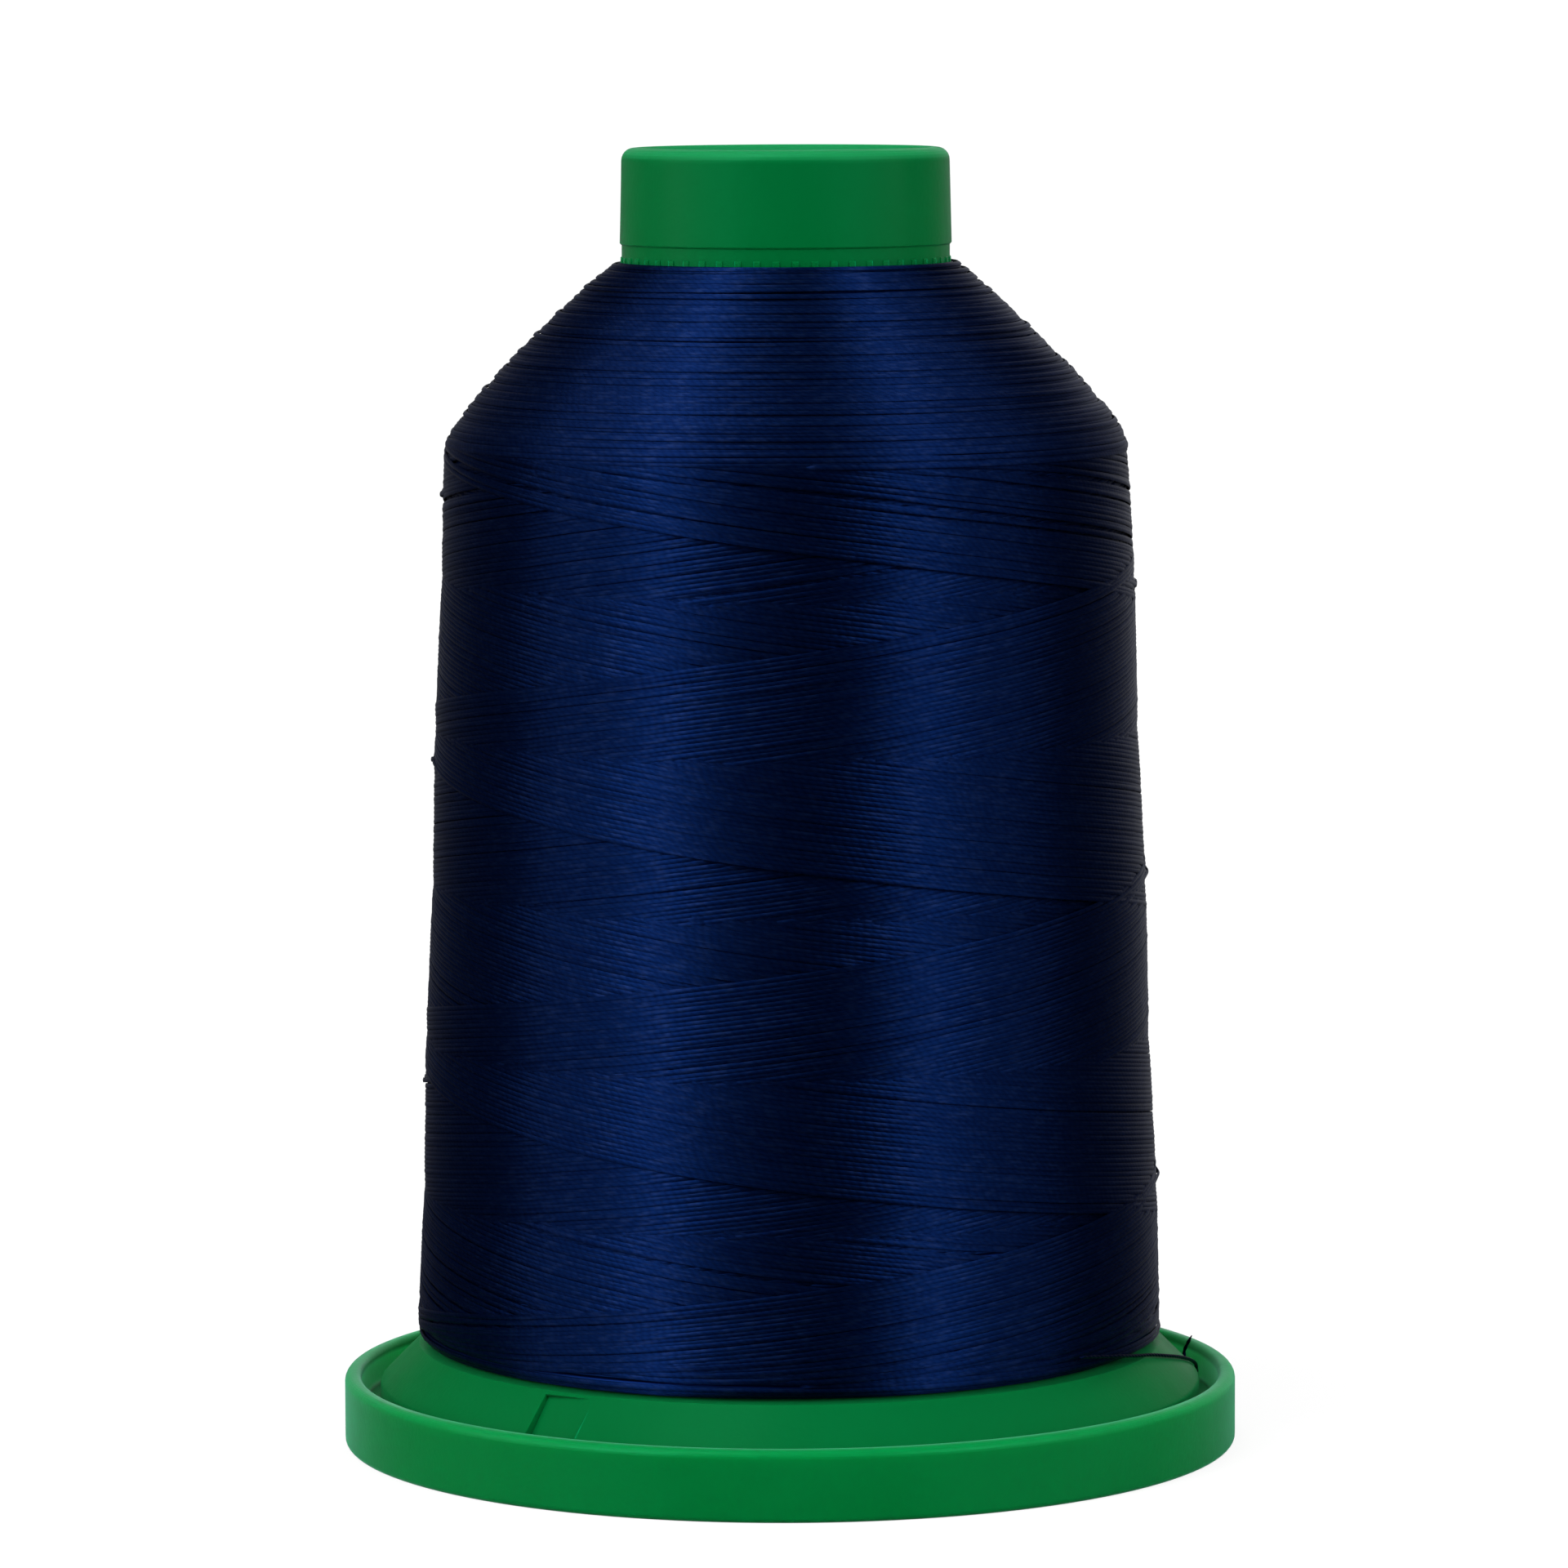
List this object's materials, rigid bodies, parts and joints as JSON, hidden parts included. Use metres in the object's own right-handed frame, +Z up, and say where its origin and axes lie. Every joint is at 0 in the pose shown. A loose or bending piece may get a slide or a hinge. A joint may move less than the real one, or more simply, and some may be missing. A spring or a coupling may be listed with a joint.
{
  "type": "spool of thread",
  "caption": "Large tapered spool of embroidery thread with a conical shoulder, a neck collar and a snap-open foot that clamps the thread's end.",
  "frame": {"origin": "centre of the foot's resting face, on the spool's axis", "axes": "+Z up along the spool's axis, from the foot to the neck; -Y is the front, with the finger recess to the front left and the thread's end at the right; +X to the right"},
  "size_m": [0.0712, 0.0712, 0.1031],
  "materials": {
    "foot_plastic": "moulded green polypropylene, satin",
    "core_plastic": "moulded green polypropylene, satin",
    "thread": "shiny navy polyester embroidery thread"
  },
  "bodies": {
    "foot": {"snap_foot": "foot_plastic"},
    "spool": {"spool_core": "core_plastic", "wound_thread": "thread", "outer_turns": "thread", "thread_tail": "thread"}
  },
  "joints": [
    {"name": "foot_snap", "type": "slide", "parent": "foot", "child": "spool", "axis": [0, 0, 1], "range_m": [0, 0.003]}
  ]
}
